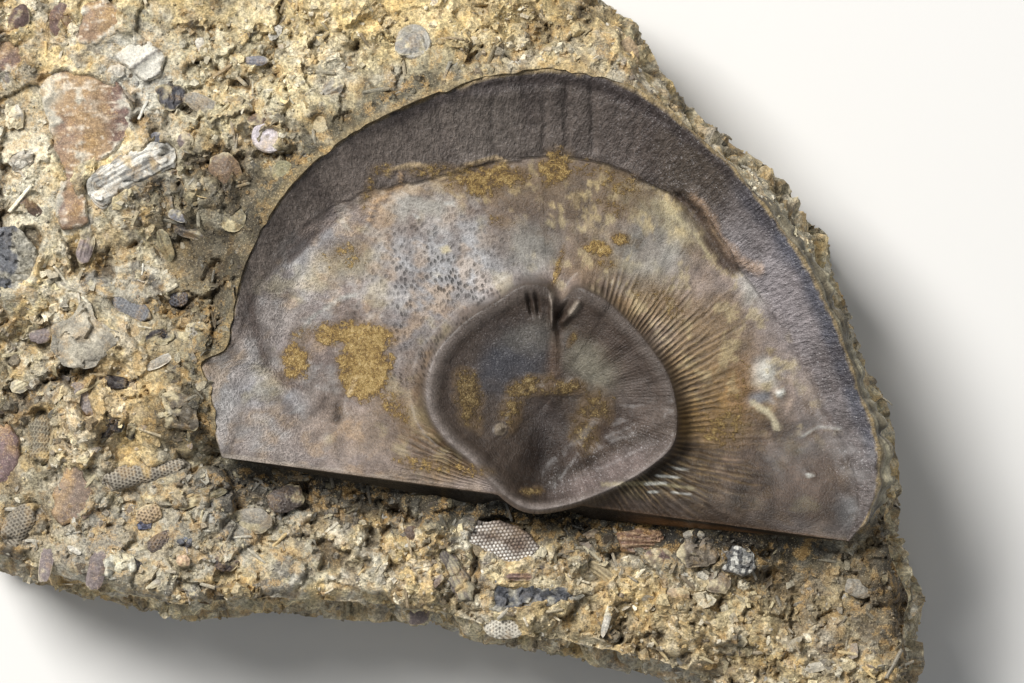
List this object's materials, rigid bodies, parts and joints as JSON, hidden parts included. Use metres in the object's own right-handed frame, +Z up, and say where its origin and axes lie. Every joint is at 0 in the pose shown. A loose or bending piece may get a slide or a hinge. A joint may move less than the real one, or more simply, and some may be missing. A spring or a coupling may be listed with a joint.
{
  "type": "brachiopod fossil in a limestone slab",
  "caption": "Fossil brachiopod valve, inner face up with a raised cup-shaped muscle field, in a loose limestone slab with bryozoan, crinoid and shell pieces.",
  "frame": {"origin": "centre of the bounding box's bottom face, on the slab's flat underside", "axes": "+X along the slab's longer side, to the right with the hinge towards the viewer; +Y towards the valve's round front edge; +Z up, out of the valve's inner face"},
  "size_m": [0.062, 0.049, 0.017],
  "materials": {
    "limestone": "rough, grainy, ochre and grey",
    "shell": "smooth fossil shell with a soft sheen, grey-brown",
    "brown_shell": "smooth, finely lined",
    "grey_shell": "matt, chalky",
    "pale_stone": "matt, grainy",
    "bryozoan": "matt, covered in rows of tiny pores",
    "dark_mineral": "granular, slightly glinting"
  },
  "bodies": {
    "root": {"matrix_rock": "limestone", "brachiopod_valve": "shell", "shell_fragment_large": "brown_shell", "shell_fragment_top": "brown_shell", "shell_fragment_corner": "brown_shell", "shell_flake_grey": "grey_shell", "mudstone_pebble": "pale_stone", "shell_paddle": "brown_shell", "shell_ribbed_left": "brown_shell", "mineral_chunk": "dark_mineral", "bryozoan_fan": "bryozoan", "shell_chip_dark": "dark_mineral", "shell_ribbed_small": "brown_shell", "rock_chip_granular": "pale_stone", "bryozoan_branch_pale": "bryozoan", "bryozoan_knob": "bryozoan", "bryozoan_stub": "bryozoan", "bryozoan_upright": "bryozoan", "bryozoan_long": "bryozoan", "bryozoan_low": "bryozoan", "bryozoan_stick": "bryozoan", "bryozoan_twig": "bryozoan", "columnal_pale": "grey_shell", "columnal_beige": "grey_shell", "columnal_green": "grey_shell", "columnal_grey": "grey_shell"}
  },
  "joints": []
}
